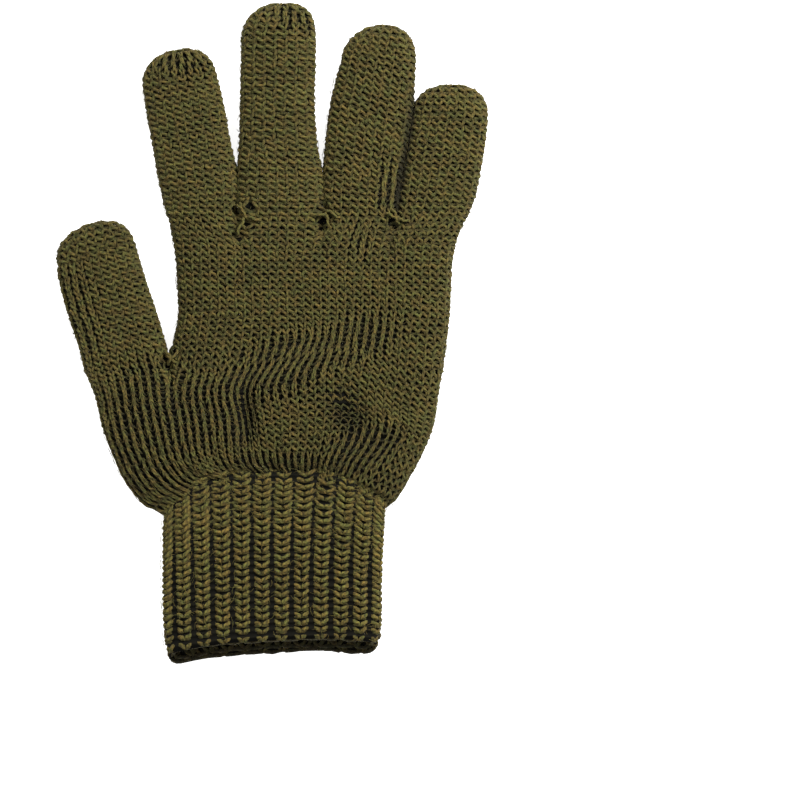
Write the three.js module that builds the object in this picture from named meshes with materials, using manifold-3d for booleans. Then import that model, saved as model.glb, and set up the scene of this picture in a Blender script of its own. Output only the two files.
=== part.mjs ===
// A knitted wool glove, lying flat with its cuff open. It is knitted as joined tubes:
// four fingers and a thumb, each closed at its tip, a hand that they all open into, and a ribbed cuff.
// Units are millimetres. +Z is up, +Y points along the middle finger, and the thumb is on the -X side.
import * as THREE from "three";
import Module from "manifold-3d";
import { mergeVertices } from "three/addons/utils/BufferGeometryUtils.js";

const wasm = await Module();
wasm.setup();

// Driving sizes.
const JERSEY_WALL = 2.4; // thickness of the plain knitted fabric
const RIB_WALL = 3.4; // thickness of the ribbed fabric, from crest to crest
const JOIN_GAP = 0.35; // between two knitted tubes that meet
const RIB_COUNT = 24; // ribs round the cuff
const RIB_DEPTH = 1.3; // depth of the valley between two ribs
const CORNERS_PER_RIB = 4;
const GATHERS = 6; // soft pleats across the hand where it narrows into the cuff
const TIP_RINGS = 4; // sections in a rounded tip
const ROOT_OVERLAP = 4; // how far a digit's hollow runs on into the hand

// Shape of every section: a soft tube lying on a table.
const EDGE_LEVEL = 0.46; // height of the side edges, as a share of the section's height
const ROUND_POWER = 2.6; // 2 rounds the side like a circle, more makes it squarer
const UNDER_REACH = 7; // width of the rounding below the edge; inside it the underside is flat
const ARCH_POWER = 3; // how late an arched section turns down towards its edges
const EDGE_CROWDING = 0.8; // how much closer together the corners are beside an edge
const LEAST_LIFT = 0.05;

// Each row is one section from the left edge (lx, ly) to the right edge (rx, ry), seen from above.
// h is its height off the table, and arch lifts its middle along +Y.
// split says how far the section has parted into the narrower tubes that follow it.
// A strip runs across to the share `to` of the width, in a number of flat segments.
const INDEX = {
  reach: 14,
  strips: [{ to: 1, segments: 9 }],
  tip: { length: 13.9, shift: 1.0, power: 2.4 },
  rows: [
    { lx: -39.0, ly: 43.7, rx: -13.3, ry: 43.7, arch: 0, h: 12.2 },
    { lx: -42.0, ly: 56.2, rx: -13.5, ry: 58.4, arch: 0, h: 11.8 },
    { lx: -44.2, ly: 68.5, rx: -15.7, ry: 72.9, arch: 0, h: 11.5 },
    { lx: -46.4, ly: 80.7, rx: -17.9, ry: 85.1, arch: 0, h: 11.5 },
    { lx: -47.9, ly: 89.9, rx: -20.1, ry: 94.3, arch: 0, h: 11.3 },
  ],
};
const MIDDLE = {
  reach: 14,
  strips: [{ to: 1, segments: 9 }],
  tip: { length: 15.5, shift: 1.8, power: 2.6 },
  rows: [
    { lx: -12.9, ly: 43.7, rx: 19.2, ry: 43.7, arch: 0, h: 12.4 },
    { lx: -12.8, ly: 57.4, rx: 18.3, ry: 57.4, arch: 0, h: 12.0 },
    { lx: -12.4, ly: 72.2, rx: 16.5, ry: 72.2, arch: 0, h: 11.6 },
    { lx: -12.0, ly: 87.0, rx: 15.7, ry: 87.0, arch: 0, h: 11.5 },
    { lx: -11.7, ly: 101.0, rx: 16.1, ry: 101.0, arch: 0, h: 11.5 },
    { lx: -11.7, ly: 107.7, rx: 16.1, ry: 107.7, arch: 0, h: 11.3 },
  ],
};
const RING = {
  reach: 14,
  strips: [{ to: 1, segments: 9 }],
  tip: { length: 15.4, shift: 2.0, power: 2.4 },
  rows: [
    { lx: 19.6, ly: 43.7, rx: 45.9, ry: 43.7, arch: 0, h: 12.2 },
    { lx: 19.1, ly: 57.4, rx: 48.2, ry: 55.9, arch: 0, h: 11.9 },
    { lx: 19.8, ly: 72.2, rx: 50.1, ry: 68.8, arch: 0, h: 11.6 },
    { lx: 21.3, ly: 85.5, rx: 51.6, ry: 81.4, arch: 0, h: 11.5 },
    { lx: 23.9, ly: 96.6, rx: 52.7, ry: 92.9, arch: 0, h: 11.4 },
    { lx: 25.3, ly: 101.0, rx: 53.0, ry: 98.8, arch: 0, h: 11.2 },
  ],
};
const LITTLE = {
  reach: 14,
  strips: [{ to: 1, segments: 9 }],
  tip: { length: 11.9, shift: 0.8, power: 2.3 },
  rows: [
    { lx: 46.3, ly: 43.7, rx: 72.3, ry: 43.7, arch: 0, h: 11.8 },
    { lx: 48.6, ly: 55.5, rx: 75.7, ry: 52.9, arch: 0, h: 11.3 },
    { lx: 50.7, ly: 68.4, rx: 77.9, ry: 65.5, arch: 0, h: 11.0 },
    { lx: 52.1, ly: 77.7, rx: 79.3, ry: 74.4, arch: 0, h: 10.9 },
    { lx: 52.8, ly: 82.5, rx: 79.7, ry: 80.7, arch: 0, h: 10.8 },
  ],
};
const THUMB = {
  reach: 16,
  strips: [{ to: 1, segments: 10 }],
  tip: { length: 11.9, shift: 1.8, power: 2.3 },
  rows: [
    { lx: -69.4, ly: -13.7, rx: -37.9, ry: -12.5, arch: 0, h: 14.2 },
    { lx: -71.6, ly: -4.8, rx: -40.5, ry: -0.4, arch: 0, h: 13.0 },
    { lx: -74.6, ly: 4.1, rx: -43.5, ry: 10.7, arch: 0, h: 12.2 },
    { lx: -77.5, ly: 13.7, rx: -47.2, ry: 21.8, arch: 0, h: 11.9 },
    { lx: -79.3, ly: 21.5, rx: -49.4, ry: 29.2, arch: 0, h: 11.8 },
    { lx: -79.5, ly: 25.5, rx: -50.5, ry: 32.9, arch: 0, h: 11.6 },
  ],
};
const UPPER_HAND = {
  reach: 20,
  strips: [
    { to: 0.2327, segments: 6 },
    { to: 0.5247, segments: 7 },
    { to: 0.7646, segments: 7 },
    { to: 1, segments: 6 },
  ],
  rows: [
    { lx: -37.6, ly: -20.0, rx: 60.9, ry: -19.0, arch: 0, split: 0, h: 15.1 }, // sunk in the lower hand
    { lx: -37.6, ly: -12.5, rx: 64.0, ry: -8.5, arch: 0, split: 0, h: 15.05 },
    { lx: -36.5, ly: -2.3, rx: 65.0, ry: -1.2, arch: 0.6, split: 0, h: 14.7 },
    { lx: -35.3, ly: 7.4, rx: 66.0, ry: 7.4, arch: 1.0, split: 0, h: 14.3 },
    { lx: -35.5, ly: 16.7, rx: 66.5, ry: 16.7, arch: 0.8, split: 0, h: 14.0 },
    { lx: -36.1, ly: 25.9, rx: 66.9, ry: 25.9, arch: 0.4, split: 0.1, h: 13.7 },
    { lx: -37.2, ly: 35.2, rx: 68.6, ry: 35.2, arch: 0.1, split: 0.45, h: 13.1 },
    { lx: -39.0, ly: 43.7, rx: 72.3, ry: 43.7, arch: 0, split: 0.85, h: 12.2 },
  ],
};
const LOWER_HAND = {
  reach: 20,
  strips: [
    { to: 0.2375, segments: 8 },
    { to: 1, segments: 18 },
  ],
  rows: [
    { lx: -40.5, ly: -65.9, rx: 42.2, ry: -64.2, arch: 15.2, split: 0, gather: 1.5, h: 14.0 },
    { lx: -46.8, ly: -62.2, rx: 46.0, ry: -60.6, arch: 13.4, split: 0, gather: 1.3, h: 15.0 },
    { lx: -53.8, ly: -54.4, rx: 50.9, ry: -52.5, arch: 9.2, split: 0, gather: 0.7, h: 16.0 },
    { lx: -59.4, ly: -44.8, rx: 56.2, ry: -43.5, arch: 5.6, split: 0, gather: 0.2, h: 16.4 },
    { lx: -63.1, ly: -34.4, rx: 60.0, ry: -33.0, arch: 3.4, split: 0, gather: 0, h: 16.2 },
    { lx: -66.0, ly: -22.6, rx: 61.9, ry: -20.2, arch: 1.4, split: 0.3, gather: 0, h: 15.6 },
    { lx: -69.4, ly: -13.7, rx: 64.0, ry: -8.5, arch: 0, split: 0.85, gather: 0, h: 15.05 },
  ],
};
// under is how far the lower layer of the open mouth runs on past the upper one.
const CUFF = {
  reach: 15,
  strips: [],
  rows: [
    { lx: -38.6, ly: -119.0, rx: 38.8, ry: -114.6, arch: 2.6, under: 5.5, h: 15.4 },
    { lx: -39.9, ly: -113.8, rx: 40.2, ry: -110.4, arch: 1.6, under: 3.4, h: 14.8 },
    { lx: -40.5, ly: -104.0, rx: 40.6, ry: -101.5, arch: 2.6, under: 1.1, h: 14.3 },
    { lx: -40.7, ly: -91.5, rx: 40.8, ry: -89.5, arch: 5.6, under: 0, h: 14.0 },
    { lx: -40.7, ly: -77.5, rx: 41.4, ry: -75.0, arch: 10.5, under: 0, h: 14.0 },
    { lx: -40.5, ly: -66.3, rx: 42.2, ry: -64.6, arch: 15.2, under: 0, h: 14.0 },
  ],
};
const TIP_HEIGHT_POWER = 3.2; // how squarely a tip's height rounds off

// Dents in the upper face: centre, direction in degrees, half length, half width and depth.
const DENTS = [
  { x: -8.3, y: -30.5, turn: 88, long: 13, wide: 3.6, depth: 2.6 }, // fold above the cuff
  { x: 29.5, y: -29.5, turn: 20, long: 8, wide: 5.5, depth: 2.4 }, // hollow of the palm
  { x: 43.0, y: -42.0, turn: 55, long: 10, wide: 3.4, depth: 1.3 }, // pleat over the cuff
  { x: -54.0, y: -12.0, turn: 9, long: 20, wide: 4.0, depth: 1.1 }, // bend at the thumb's root
];

const WOOL = { roughness: 0.95, metalness: 0 };
const JERSEY_COLOUR = 0x6e6538;
const RIB_COLOUR = 0x675e34;

// Cubic through a table's rows: each column is read at a place along the table, counted in rows.
function readRow(rows, place) {
  const last = rows.length - 1;
  const k = Math.min(Math.max(Math.floor(place), 0), last - 1);
  const t = place - k;
  const near = [k - 1, k, k + 1, k + 2].map((i) => rows[Math.min(Math.max(i, 0), last)]);
  const row = {};
  for (const column of Object.keys(rows[0])) {
    const [a, b, c, d] = near.map((r) => r[column]);
    const inner = k > 0 ? (c - a) / 2 : c - b;
    const outer = k < last - 1 ? (d - b) / 2 : c - b;
    const bend = 2 * (b - c) + inner + outer;
    row[column] = b + t * (inner + t * (3 * (c - b) - 2 * inner - outer + t * bend));
  }
  return row;
}

// Depth of all the dents at (x, y).
function dentDepth(x, y) {
  return DENTS.reduce((sum, d) => {
    const a = THREE.MathUtils.degToRad(d.turn);
    const along = (x - d.x) * Math.cos(a) + (y - d.y) * Math.sin(a);
    const off = (y - d.y) * Math.cos(a) - (x - d.x) * Math.sin(a);
    return sum + d.depth * Math.exp(-((along / d.long) ** 2) - (off / d.wide) ** 2);
  }, 0);
}

// How far a rounded side has risen at a distance inside its edge: 0 on the edge, 1 once it is level.
function rounding(distance, reach) {
  const left = 1 - Math.min(Math.max(distance / reach, 0), 1);
  return (1 - left ** ROUND_POWER) ** (1 / ROUND_POWER);
}

// The same across a whole section, where a split parts it into narrower tubes. margin moves the edges in.
function risen(tube, row, width, share, reach, margin) {
  const side = Math.min(share, 1 - share) * width - margin;
  const whole = rounding(side, Math.min(reach, width / 2) - margin);
  const parted = THREE.MathUtils.clamp(row.split ?? 0, 0, 1);
  if (!parted) return whole;
  const bounds = [0, ...tube.strips.map((strip) => strip.to)];
  const k = bounds.findIndex((bound, i) => i > 0 && share <= bound + 1e-9);
  const own = Math.min(share - bounds[k - 1], bounds[k] - share) * width;
  const half = ((bounds[k] - bounds[k - 1]) * width) / 2;
  return whole + parted * (rounding(own, Math.min(reach, half)) - whole);
}

// One point of a section, at a share of the way from the left edge to the right edge, on the upper face
// or the lower one. inset is the distance inside the outer face.
function sectionPoint(tube, row, share, upper, inset) {
  const halfX = (row.rx - row.lx) / 2;
  const halfY = (row.ry - row.ly) / 2;
  const half = Math.hypot(halfX, halfY);
  const keep = Math.max(1 - inset / half, 0.05) * (2 * share - 1);
  const x = (row.lx + row.rx) / 2 + halfX * keep;
  let y = (row.ly + row.ry) / 2 + halfY * keep + row.arch * (1 - Math.abs(keep) ** ARCH_POWER);
  const outerShare = (1 + keep) / 2;
  const edge = row.h * EDGE_LEVEL;
  // The height away from the edge's level, from an outer surface with the same rounding.
  const away = (full, reach) => {
    const outer = full * risen(tube, row, 2 * half, outerShare, reach, 0);
    if (!inset) return outer;
    const inner = (full - inset) * risen(tube, { ...row, split: 0 }, 2 * half, outerShare, reach, inset);
    return Math.min(inner, Math.max(outer - inset, LEAST_LIFT * inner));
  };
  if (!upper) {
    const drop = away(edge, UNDER_REACH);
    if (row.under) y -= row.under * (drop / edge);
    return new THREE.Vector3(x, y, edge - drop);
  }
  const full = row.h - edge;
  const lift = away(full, tube.reach);
  const pleat = row.gather ? row.gather * (0.5 + 0.5 * Math.cos(2 * Math.PI * GATHERS * share)) : 0;
  return new THREE.Vector3(x, y, edge + lift - (dentDepth(x, y) + pleat) * Math.min(1, lift / full));
}

// Shares across the width where a section has its corners: closer together beside each strip's edges.
function sharesAcross(strips) {
  const shares = [0];
  let from = 0;
  for (const { to, segments } of strips) {
    for (let i = 1; i <= segments; i++) {
      const even = i / segments;
      const crowded = (1 - Math.cos(Math.PI * even)) / 2;
      shares.push(from + (to - from) * (even + EDGE_CROWDING * (crowded - even)));
    }
    from = to;
  }
  return shares;
}

// The corners of one section: from the left edge over the upper face, and back along the lower one.
function ring(tube, row, inset) {
  const shares = sharesAcross(tube.strips);
  const over = shares.map((share) => sectionPoint(tube, row, share, true, inset));
  const back = shares.slice(1, -1).reverse();
  return [...over, ...back.map((share) => sectionPoint(tube, row, share, false, inset))];
}

// The sections of a tube from row number `from` to row number `to`, `count` of them.
function rings(tube, from, to, count, inset) {
  return Array.from({ length: count }, (_, i) =>
    ring(tube, readRow(tube.rows, from + ((to - from) * i) / (count - 1)), inset),
  );
}

// The sections of a rounded tip past the table's last row, shrinking to nothing at the apex.
function tipRings(tube, inset) {
  const end = tube.rows[tube.rows.length - 1];
  const half = new THREE.Vector2((end.rx - end.lx) / 2, (end.ry - end.ly) / 2);
  const middle = new THREE.Vector2((end.lx + end.rx) / 2, (end.ly + end.ry) / 2);
  const onward = new THREE.Vector2(-half.y, half.x).normalize();
  const sideways = half.clone().normalize();
  const centreAt = (share) =>
    middle
      .clone()
      .addScaledVector(onward, (tube.tip.length - inset) * share)
      .addScaledVector(sideways, tube.tip.shift * share * share);
  const shrunk = Math.max(1 - inset / half.length(), 0.05);
  const edge = EDGE_LEVEL * end.h;
  const made = [];
  for (let i = 1; i <= TIP_RINGS; i++) {
    const share = Math.sin((Math.PI / 2) * (i / (TIP_RINGS + 0.35)));
    const width = shrunk * (1 - share ** tube.tip.power) ** (1 / tube.tip.power);
    const height = (1 - share ** TIP_HEIGHT_POWER) ** (1 / TIP_HEIGHT_POWER);
    const centre = centreAt(share);
    const row = {
      lx: centre.x - half.x * width,
      ly: centre.y - half.y * width,
      rx: centre.x + half.x * width,
      ry: centre.y + half.y * width,
      arch: 0,
      h: end.h,
    };
    const scaled = ring(tube, row, 0).map((p) => {
      const above = p.z > edge;
      const full = above ? end.h - edge : edge;
      const squeeze = above ? height : Math.sqrt(height);
      return p.setZ(edge + (p.z - edge) * ((full - inset) / full) * squeeze);
    });
    made.push(scaled);
  }
  const apex = centreAt(1);
  return { made, apex: new THREE.Vector3(apex.x, apex.y, edge) };
}

// Joins rings of equal length into a surface, corner to corner.
function skin(faces, start, ringCount, sides, outward) {
  for (let r = 0; r < ringCount - 1; r++) {
    for (let i = 0; i < sides; i++) {
      const a = start + r * sides + i;
      const b = start + r * sides + ((i + 1) % sides);
      const quad = [a, b, a + sides, b, b + sides, a + sides];
      if (outward) faces.push(...quad);
      else faces.push(...quad.reverse());
    }
  }
}

function toGeometry(points, faces) {
  const geometry = new THREE.BufferGeometry();
  geometry.setAttribute("position", new THREE.Float32BufferAttribute(points.flatMap((p) => p.toArray()), 3));
  geometry.setIndex(faces);
  return geometry;
}

// A solid through a list of rings. Each end is closed by strips that run straight down,
// from a point of the upper face to the one below it.
function solidLoft(ringList) {
  const sides = ringList[0].length;
  const faces = [];
  skin(faces, 0, ringList.length, sides, true);
  const top = (ringList.length - 1) * sides;
  for (let i = 0; i < sides / 2; i++) {
    const [a, b, c, d] = [i, i + 1, sides - 1 - i, (sides - i) % sides];
    if (c !== b) faces.push(b, a, c, top + a, top + b, top + c);
    if (d !== a) faces.push(c, a, d, top + a, top + c, top + d);
  }
  return toGeometry(ringList.flat(), faces);
}

// A wall between an outer and an inner set of rings, with a rim at the open end or ends.
function wallBetween(outer, inner, outerApex, innerApex) {
  const sides = outer[0].length;
  const points = [...outer.flat(), ...inner.flat()];
  const innerStart = outer.length * sides;
  const faces = [];
  skin(faces, 0, outer.length, sides, true);
  skin(faces, innerStart, inner.length, sides, false);
  const outerTop = (outer.length - 1) * sides;
  const innerTop = innerStart + (inner.length - 1) * sides;
  const tips = outerApex ? [points.push(outerApex) - 1, points.push(innerApex) - 1] : null;
  for (let i = 0; i < sides; i++) {
    const j = (i + 1) % sides;
    faces.push(i, innerStart + i, j, j, innerStart + i, innerStart + j);
    if (tips) faces.push(outerTop + i, outerTop + j, tips[0], innerTop + j, innerTop + i, tips[1]);
    else faces.push(outerTop + j, innerTop + i, outerTop + i, innerTop + j, innerTop + i, outerTop + j);
  }
  return toGeometry(points, faces);
}

function toManifold(geometry) {
  const bare = new THREE.BufferGeometry();
  bare.setAttribute("position", geometry.getAttribute("position"));
  bare.setIndex(geometry.index);
  const merged = mergeVertices(bare, 1e-4);
  const vertProperties = merged.attributes.position.array;
  const triVerts = new Uint32Array(merged.index.array);
  return new wasm.Manifold(new wasm.Mesh({ numProp: 3, vertProperties, triVerts }));
}

function fromManifold(solid) {
  const mesh = solid.getMesh();
  const geometry = new THREE.BufferGeometry();
  geometry.setAttribute("position", new THREE.Float32BufferAttribute(mesh.vertProperties, 3));
  geometry.setIndex(Array.from(mesh.triVerts));
  return geometry;
}

// Fingers and thumb: a wall along the table's rows, then a rounded closed tip.
function digit(tube) {
  const [root, ...rest] = tube.rows;
  const moved = { ...tube, rows: [{ ...root, ly: root.ly + JOIN_GAP, ry: root.ry + JOIN_GAP }, ...rest] };
  const last = rest.length;
  const outer = rings(moved, 0, last, last + 2, 0);
  const inner = rings(moved, 0, last, last + 2, JERSEY_WALL);
  const outerTip = tipRings(tube, 0);
  const innerTip = tipRings(tube, JERSEY_WALL);
  return wallBetween(
    [...outer, ...outerTip.made],
    [...inner, ...innerTip.made],
    outerTip.apex,
    innerTip.apex,
  );
}

// The hollow of a digit's root, run on into the hand so that it opens there.
function rootHollow(tube) {
  const [first, second] = tube.rows;
  const back = ROOT_OVERLAP / Math.hypot(second.lx - first.lx, second.ly - first.ly);
  const behind = {};
  for (const column of Object.keys(first)) {
    behind[column] = first[column] - back * (second[column] - first[column]);
  }
  const sections = [behind, first, readRow(tube.rows, 0.3)];
  return solidLoft(sections.map((row) => ring(tube, row, JERSEY_WALL)));
}

// The hand: a lower tube that the thumb joins, an upper tube that the fingers join, and their hollows.
function hand() {
  const lowerLast = LOWER_HAND.rows.length - 1;
  const upperLast = UPPER_HAND.rows.length - 1;
  const lower = solidLoft(rings(LOWER_HAND, 0, lowerLast, 10, 0));
  const upper = solidLoft(rings(UPPER_HAND, 0, upperLast, 10, 0));

  const mouth = { ...LOWER_HAND.rows[0] };
  mouth.ly -= ROOT_OVERLAP;
  mouth.ry -= ROOT_OVERLAP;
  const lowerInner = rings(LOWER_HAND, 0, lowerLast - 0.3, 9, JERSEY_WALL);
  const lowerHollow = solidLoft([ring(LOWER_HAND, mouth, JERSEY_WALL), ...lowerInner]);
  const upperHollow = solidLoft(rings(UPPER_HAND, 0, upperLast - 0.3, 9, JERSEY_WALL));

  let solid = toManifold(lower).add(toManifold(upper));
  solid = solid.subtract(toManifold(lowerHollow)).subtract(toManifold(upperHollow));
  for (const tube of [THUMB, INDEX, MIDDLE, RING, LITTLE]) {
    solid = solid.subtract(toManifold(rootHollow(tube)));
  }
  return fromManifold(solid);
}

// The cuff: ribs all the way round, raised outside and, half a rib along, inside.
function cuff() {
  const sides = RIB_COUNT * CORNERS_PER_RIB;
  const steps = 720;
  // turn runs once round a section, over the upper face and back underneath.
  const around = (row, turn, inset) =>
    sectionPoint(CUFF, row, (1 - Math.cos(2 * Math.PI * turn)) / 2, turn < 0.5, inset);
  const ribbed = (row, inset, valley) => {
    const length = [0];
    for (let i = 1; i <= steps; i++) {
      const step = around(row, i / steps, 0).distanceTo(around(row, (i - 1) / steps, 0));
      length.push(length[i - 1] + step);
    }
    return Array.from({ length: sides }, (_, i) => {
      const goal = (i / sides) * length[steps];
      const k = Math.max(1, length.findIndex((l) => l >= goal));
      const turn = (k - (length[k] - goal) / (length[k] - length[k - 1])) / steps;
      return around(row, turn, inset + valley(i));
    });
  };
  const corner = (i) => i % CORNERS_PER_RIB;
  const places = [0, 0.7, 1.7, 2.8, 3.9, CUFF.rows.length - 1];
  const outer = places.map((p) => ribbed(readRow(CUFF.rows, p), 0, (i) => (corner(i) === 0 ? RIB_DEPTH : 0)));
  const inner = places.map((p) =>
    ribbed(readRow(CUFF.rows, p), RIB_WALL, (i) => (corner(i) === 2 ? -RIB_DEPTH : 0)),
  );
  return wallBetween(outer, inner);
}

function part(name, geometry, colour) {
  const mesh = new THREE.Mesh(geometry, new THREE.MeshStandardMaterial({ color: colour, ...WOOL }));
  mesh.name = name;
  return mesh;
}

const glove = new THREE.Group();
glove.add(part("hand", hand(), JERSEY_COLOUR));
glove.add(part("cuff", cuff(), RIB_COLOUR));
glove.add(part("thumb", digit(THUMB), JERSEY_COLOUR));
glove.add(part("index_finger", digit(INDEX), JERSEY_COLOUR));
glove.add(part("middle_finger", digit(MIDDLE), JERSEY_COLOUR));
glove.add(part("ring_finger", digit(RING), JERSEY_COLOUR));
glove.add(part("little_finger", digit(LITTLE), JERSEY_COLOUR));

export default glove;
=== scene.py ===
import bpy
import numpy as np
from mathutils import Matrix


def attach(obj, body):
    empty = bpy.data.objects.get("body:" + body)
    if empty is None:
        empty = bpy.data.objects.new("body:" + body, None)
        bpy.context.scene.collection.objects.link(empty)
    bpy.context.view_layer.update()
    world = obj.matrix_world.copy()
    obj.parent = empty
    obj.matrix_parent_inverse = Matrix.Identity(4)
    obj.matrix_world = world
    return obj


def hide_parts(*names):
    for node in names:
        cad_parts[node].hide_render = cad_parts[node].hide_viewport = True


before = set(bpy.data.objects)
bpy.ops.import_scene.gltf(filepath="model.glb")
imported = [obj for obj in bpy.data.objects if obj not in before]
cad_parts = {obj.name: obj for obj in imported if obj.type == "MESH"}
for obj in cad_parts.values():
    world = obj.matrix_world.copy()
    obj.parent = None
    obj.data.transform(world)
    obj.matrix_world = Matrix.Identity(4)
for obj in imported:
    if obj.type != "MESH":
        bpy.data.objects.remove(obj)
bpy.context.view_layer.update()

# Camera
# The photograph looks straight down on the glove through a long lens, with the fingers up.
# Lengths in this file are millimetres, and MM turns them into Blender's metres.
MM = 0.001
PHOTO_WIDTH_MM = 296.0
CAMERA_HEIGHT = 1500.0
GLOVE_EDGE_HEIGHT = 5.5  # where the outline is widest, so that it comes out at the photograph's size
VIEW_CENTRE = (47.2, -24.0)
SENSOR_WIDTH = 36.0

camera_data = bpy.data.cameras.new("camera")
camera_data.sensor_width = SENSOR_WIDTH
camera_data.lens = SENSOR_WIDTH * (CAMERA_HEIGHT - GLOVE_EDGE_HEIGHT) / PHOTO_WIDTH_MM
camera = bpy.data.objects.new("camera", camera_data)
camera.location = (VIEW_CENTRE[0] * MM, VIEW_CENTRE[1] * MM, CAMERA_HEIGHT * MM)
bpy.context.scene.collection.objects.link(camera)
bpy.context.scene.camera = camera

# Light and floor
# A white light table under soft studio light: a large lamp at the upper right, a weaker one at the left,
# and an even white sky. The table glows a little, so that the glove's shadow on it almost goes.
SKY_STRENGTH = 0.45
TABLE_GLOW = 0.85
LAMPS = (
    # name, place, size, watts
    ("key_light", (430.0, 430.0, 560.0), 300.0, 13.0),
    ("fill_light", (-480.0, -200.0, 700.0), 600.0, 3.0),
)
FLOOR_HALF = 3000.0
FLOOR_DROP = 0.2  # keeps the table's top clear of the glove's underside

scene = bpy.context.scene
scene.view_settings.view_transform = "Standard"
world = bpy.data.worlds.new("studio")
world.use_nodes = True
world.node_tree.nodes["Background"].inputs["Color"].default_value = (1.0, 1.0, 1.0, 1.0)
world.node_tree.nodes["Background"].inputs["Strength"].default_value = SKY_STRENGTH
scene.world = world

for name, place, size, watts in LAMPS:
    lamp_data = bpy.data.lights.new(name, "AREA")
    lamp_data.shape = "DISK"
    lamp_data.size = size * MM
    lamp_data.energy = watts
    lamp = bpy.data.objects.new(name, lamp_data)
    lamp.location = [value * MM for value in place]
    lamp.rotation_euler = (-lamp.location).to_track_quat("-Z", "Y").to_euler()
    scene.collection.objects.link(lamp)

reach = FLOOR_HALF * MM
floor_corners = [(x * reach, y * reach, -FLOOR_DROP * MM) for x, y in ((-1, -1), (1, -1), (1, 1), (-1, 1))]
floor_mesh = bpy.data.meshes.new("floor")
floor_mesh.from_pydata(floor_corners, [], [(0, 1, 2, 3)])
floor = bpy.data.objects.new("floor", floor_mesh)
scene.collection.objects.link(floor)
floor_material = bpy.data.materials.new("white_table")
floor_material.use_nodes = True
floor_shader = floor_material.node_tree.nodes["Principled BSDF"]
floor_shader.inputs["Base Color"].default_value = (0.9, 0.9, 0.9, 1.0)
floor_shader.inputs["Roughness"].default_value = 0.8
floor_shader.inputs["Emission Color"].default_value = (1.0, 1.0, 1.0, 1.0)
floor_shader.inputs["Emission Strength"].default_value = TABLE_GLOW
floor_mesh.materials.append(floor_material)

# Hand
# The hand is a flat tube of plain knitting in a matt two-ply wool, worked from the cuff up, so that every
# stitch is a V that points to the cuff. It carries the four fingers and, lower down, the thumb.
# Its sections are the solid's, and the yarn runs round them in closed courses.
EDGE_LEVEL = 0.46  # height of a section's side edges, as a share of its height
ROUND_POWER = 2.6  # how square its sides are rounded
UNDER_REACH = 7.0  # how far in from its edge the underside is rounded
ARCH_POWER = 3.0  # how flat an arched section's front is
LEAST_SHARE = 0.05  # least share of its lift and of its width that an inset surface keeps
GATHERS = 6  # soft pleats across the hand where it narrows into the cuff

# The yarn and its stitches
STITCH_WIDTH = 3.5
STITCH_HEIGHT = 2.4
YARN_RADIUS = 0.65
YARN_SIDES = 6
YARN_DEPTH = 1.32  # from the fabric's face to the middle of its thickness
LEG_RISE = 0.60  # how far a stitch's legs stand proud of the fabric's middle and its head sinks
SIDE_FLAT = 0.25  # share of that which is left on the sides, where the fabric is drawn tight
SWING = 0.39  # a leg's slant, in wales
SWING_UNEQUAL = 0.35  # how much more the left leg slants, as the twisted yarn makes it
RISE_UNEQUAL = 0.5  # share of that by which it also stands out more
REACH = 0.58  # half a stitch's height, in courses
WANDER = 0.10  # how far a course waves up and down, in courses
# How far the yarn strays in millimetres, then how stitches differ, in wales and, from reach on, as shares
UNEVEN = {"path": 0.10, "pinch": 0.02, "lean": 0.045, "reach": 0.09, "rise": 0.08, "radius": 0.08}

# The same where the fabric is stretched: steep legs close together, tall stitches and thinner yarn
SWING_STRETCHED = 0.06
PINCH_STRETCHED = 0.185
REACH_STRETCHED = 0.92
RISE_STRETCHED = 0.2
YARN_STRETCHED = 0.27  # how much thinner the yarn is
DEEP_STRETCHED = 1.2  # how much sooner it sinks into shade
# painted light: share by which the stretched yarn is drawn brighter
STRETCHED_LIGHT = 0.26
TOO_WIDE = 2.1  # a stitch that is this many times its usual width isn't drawn as stretched

# The yarn's thickness follows this power of the wales' width, within limits
NARROW_POWER = 0.6
NARROW_LIMITS = (0.55, 1.05)

# The yarn's tones and its painted shade
TONES = (0.70, 1.06)  # range of the stitches' brightness
LEAST_HEIGHT = 0.36  # lifts the painted shade, which keeps the deepest yarn in sight where the fabric isn't stretched
SHADE_DEEP = 0.16  # painted shade on a yarn's deepest stretch and on its inner side
SHADE_UNDER = 0.45
PUCKER_SHADE = 0.8
HOLE_SHADE = 0.5
DARKEST = 0.88  # the deepest shade a dent casts
THIN_YARN = 0.55  # how much thinner the yarn is in a dent that draws it thin, and how much
THIN_SHORT = 0.12  # shorter its stitches are, which opens holes round them

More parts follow.
